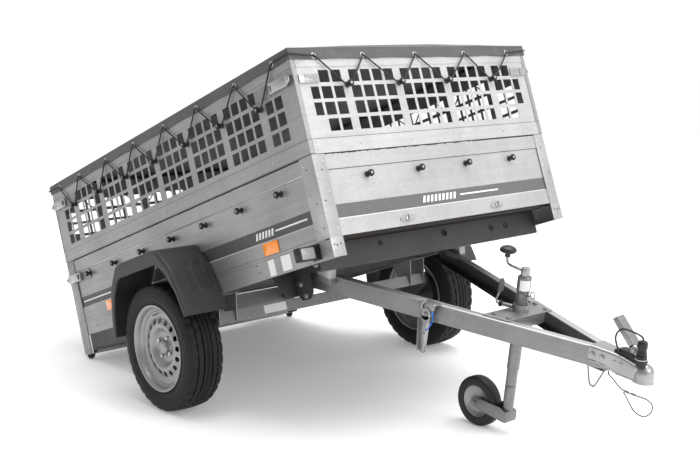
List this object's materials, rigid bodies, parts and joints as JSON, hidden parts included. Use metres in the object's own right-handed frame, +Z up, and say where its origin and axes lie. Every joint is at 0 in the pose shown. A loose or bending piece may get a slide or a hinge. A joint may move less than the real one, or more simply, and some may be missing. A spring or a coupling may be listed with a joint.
{
  "type": "livestock trailer",
  "caption": "Small tipping box trailer on a single sprung axle, with mesh sides, flat tarpaulin, V drawbar, ball coupling and cranked jockey wheel.",
  "frame": {"origin": "on the ground under the middle of the trailer's box of bounds, cords left out", "axes": "+X towards the coupling, +Y to the trailer's left, +Z up"},
  "size_m": [3.1214, 1.69, 1.4956],
  "materials": {
    "m00_wood": "film-faced plywood",
    "m01_brushed_steel": "galvanised sheet, fine spangle",
    "m02_brushed_steel": "hot-dip zinc, dull",
    "m03_fabric": "coated woven sheet",
    "m04_rubber": "elastic braided cord",
    "m05_matte_plastic": "grained moulding",
    "m06_matte_plastic": "moulded",
    "m07_gloss_plastic": "red lens",
    "m08_rubber": "solid rubber",
    "m09_brushed_steel": "bright zinc",
    "m10_brushed_steel": "plastic-coated wire rope",
    "m11_tyre": "moulded tread rubber",
    "m12_painted_metal": "silver paint",
    "m13_fabric": "plastic twine"
  },
  "bodies": {
    "box": {"floor_panel": "m00_wood", "sill_right": "m01_brushed_steel", "sill_left": "m01_brushed_steel", "front_crossmember": "m02_brushed_steel", "mid_crossmember": "m02_brushed_steel", "rear_crossmember": "m01_brushed_steel", "side_board_right": "m01_brushed_steel", "side_board_left": "m01_brushed_steel", "front_board": "m01_brushed_steel", "post_front_right": "m01_brushed_steel", "post_front_left": "m01_brushed_steel", "post_rear_right": "m01_brushed_steel", "post_rear_left": "m01_brushed_steel", "mesh_side_right": "m01_brushed_steel", "mesh_side_left": "m01_brushed_steel", "mesh_front": "m01_brushed_steel", "mesh_rear": "m01_brushed_steel", "tarp": "m03_fabric", "tarp_rope": "m04_rubber", "mudguard_right": "m05_matte_plastic", "mudguard_left": "m05_matte_plastic", "marker_lamp_right": "m06_matte_plastic", "marker_lamp_left": "m06_matte_plastic", "rear_lamp_right": "m07_gloss_plastic", "rear_lamp_left": "m07_gloss_plastic", "hinge_bracket_right": "m02_brushed_steel", "hinge_bracket_left": "m02_brushed_steel", "tip_shaft": "m02_brushed_steel", "axle_beam": "m01_brushed_steel", "rear_foot_right": "m08_rubber", "rear_foot_left": "m08_rubber"},
    "drawbar": {"drawbar_arm_right": "m01_brushed_steel", "drawbar_arm_left": "m01_brushed_steel", "cross_plate": "m01_brushed_steel", "coupling_head": "m09_brushed_steel", "wire_holder": "m09_brushed_steel", "plug": "m06_matte_plastic", "plug_cable": "m06_matte_plastic", "safety_cable": "m10_brushed_steel"},
    "swing_arm_r": {"swing_arm_right": "m02_brushed_steel"},
    "swing_arm_l": {"swing_arm_left": "m02_brushed_steel"},
    "wheel_r": {"tyre_right": "m11_tyre", "wheel_rim_right": "m12_painted_metal"},
    "wheel_l": {"tyre_left": "m11_tyre", "wheel_rim_left": "m12_painted_metal"},
    "tail": {"tailgate": "m01_brushed_steel"},
    "handle": {"coupling_handle": "m02_brushed_steel"},
    "clamp": {"clamp_lever": "m06_matte_plastic"},
    "lock": {"tip_lock_lever": "m09_brushed_steel", "lock_lanyard": "m13_fabric"},
    "jockey_outer": {"jockey_tube": "m09_brushed_steel"},
    "jockey_inner": {"jockey_leg": "m02_brushed_steel"},
    "jockey_roller": {"jockey_wheel": "m08_rubber"},
    "crank": {"jockey_crank": "m09_brushed_steel"},
    "latch_front_top_r": {"latch_front_top_right": "m09_brushed_steel"},
    "latch_front_top_l": {"latch_front_top_left": "m09_brushed_steel"},
    "latch_rear_top_r": {"latch_rear_top_right": "m09_brushed_steel"},
    "latch_rear_top_l": {"latch_rear_top_left": "m09_brushed_steel"},
    "latch_rear_mid_r": {"latch_rear_mid_right": "m09_brushed_steel"},
    "latch_rear_mid_l": {"latch_rear_mid_left": "m09_brushed_steel"}
  },
  "joints": [
    {"name": "tip", "type": "hinge", "parent": "box", "child": "drawbar", "pos_m": [0.30322, 0, 0.64839], "axis": [0, -1, 0], "range_deg": [0, 27]},
    {"name": "suspension_r", "type": "hinge", "parent": "box", "child": "swing_arm_r", "pos_m": [-0.1726, -0.6, 0.37182], "axis": [0, 1, 0], "range_deg": [-6, 14], "stiffness_Nm_per_rad": 3000, "springref_deg": -1.03},
    {"name": "wheel_spin_r", "type": "hinge", "parent": "swing_arm_r", "child": "wheel_r", "pos_m": [-0.28027, -0.744, 0.26955], "axis": [0, 1, 0], "continuous": true},
    {"name": "suspension_l", "type": "hinge", "parent": "box", "child": "swing_arm_l", "pos_m": [-0.1726, 0.6, 0.37182], "axis": [0, 1, 0], "range_deg": [-6, 14], "stiffness_Nm_per_rad": 3000, "springref_deg": -1.03},
    {"name": "wheel_spin_l", "type": "hinge", "parent": "swing_arm_l", "child": "wheel_l", "pos_m": [-0.28027, 0.744, 0.26955], "axis": [0, 1, 0], "continuous": true},
    {"name": "tailgate_hinge", "type": "hinge", "parent": "box", "child": "tail", "pos_m": [-1.33141, 0, 0.16985], "axis": [0, -1, 0], "range_deg": [0, 95]},
    {"name": "coupling_lift", "type": "hinge", "parent": "drawbar", "child": "handle", "pos_m": [1.49057, 0, 0.44211], "axis": [0, -1, 0], "range_deg": [0, 30]},
    {"name": "clamp_turn", "type": "hinge", "parent": "drawbar", "child": "clamp", "pos_m": [0.91983, -0.03622, 0.51782], "axis": [0.9187, 0.3672, -0.1455], "range_deg": [0, 75]},
    {"name": "lock_lever", "type": "hinge", "parent": "drawbar", "child": "lock", "pos_m": [0.73526, -0.242, 0.48681], "axis": [0, -1, 0], "range_deg": [0, 100]},
    {"name": "jockey_height", "type": "slide", "parent": "drawbar", "child": "jockey_outer", "axis": [0.1564, 0, 0.9877], "range_m": [0, 0.2]},
    {"name": "jockey_lift", "type": "slide", "parent": "jockey_outer", "child": "jockey_inner", "axis": [0.1564, 0, 0.9877], "range_m": [-0.12, 0.08]},
    {"name": "crank_turn", "type": "hinge", "parent": "jockey_outer", "child": "crank", "pos_m": [1.00261, 0, 0.64696], "axis": [0.1564, 0, 0.9877], "range_deg": [-8640, 5760]},
    {"name": "jockey_spin", "type": "hinge", "parent": "jockey_inner", "child": "jockey_roller", "pos_m": [0.77069, 0, 0.10001], "axis": [0, 1, 0], "continuous": true},
    {"name": "latch_front_top_r_swing", "type": "hinge", "parent": "box", "child": "latch_front_top_r", "pos_m": [0.33468, -0.6537, 1.33471], "axis": [0.309, 0, -0.9511], "range_deg": [0, 110]},
    {"name": "latch_front_top_l_swing", "type": "hinge", "parent": "box", "child": "latch_front_top_l", "pos_m": [0.33468, 0.6537, 1.33471], "axis": [-0.309, 0, 0.9511], "range_deg": [0, 110]},
    {"name": "latch_rear_top_r_swing", "type": "hinge", "parent": "box", "child": "latch_rear_top_r", "pos_m": [-1.38198, -0.6537, 0.77693], "axis": [-0.309, 0, 0.9511], "range_deg": [0, 110]},
    {"name": "latch_rear_top_l_swing", "type": "hinge", "parent": "box", "child": "latch_rear_top_l", "pos_m": [-1.38198, 0.6537, 0.77693], "axis": [0.309, 0, -0.9511], "range_deg": [0, 110]},
    {"name": "latch_rear_mid_r_swing", "type": "hinge", "parent": "box", "child": "latch_rear_mid_r", "pos_m": [-1.26579, -0.6537, 0.41933], "axis": [-0.309, 0, 0.9511], "range_deg": [0, 110]},
    {"name": "latch_rear_mid_l_swing", "type": "hinge", "parent": "box", "child": "latch_rear_mid_l", "pos_m": [-1.26579, 0.6537, 0.41933], "axis": [0.309, 0, -0.9511], "range_deg": [0, 110]}
  ],
  "couplings": [
    {"joint": "jockey_lift", "follows": "crank_turn", "m_per_rad": 0.00079577}
  ]
}
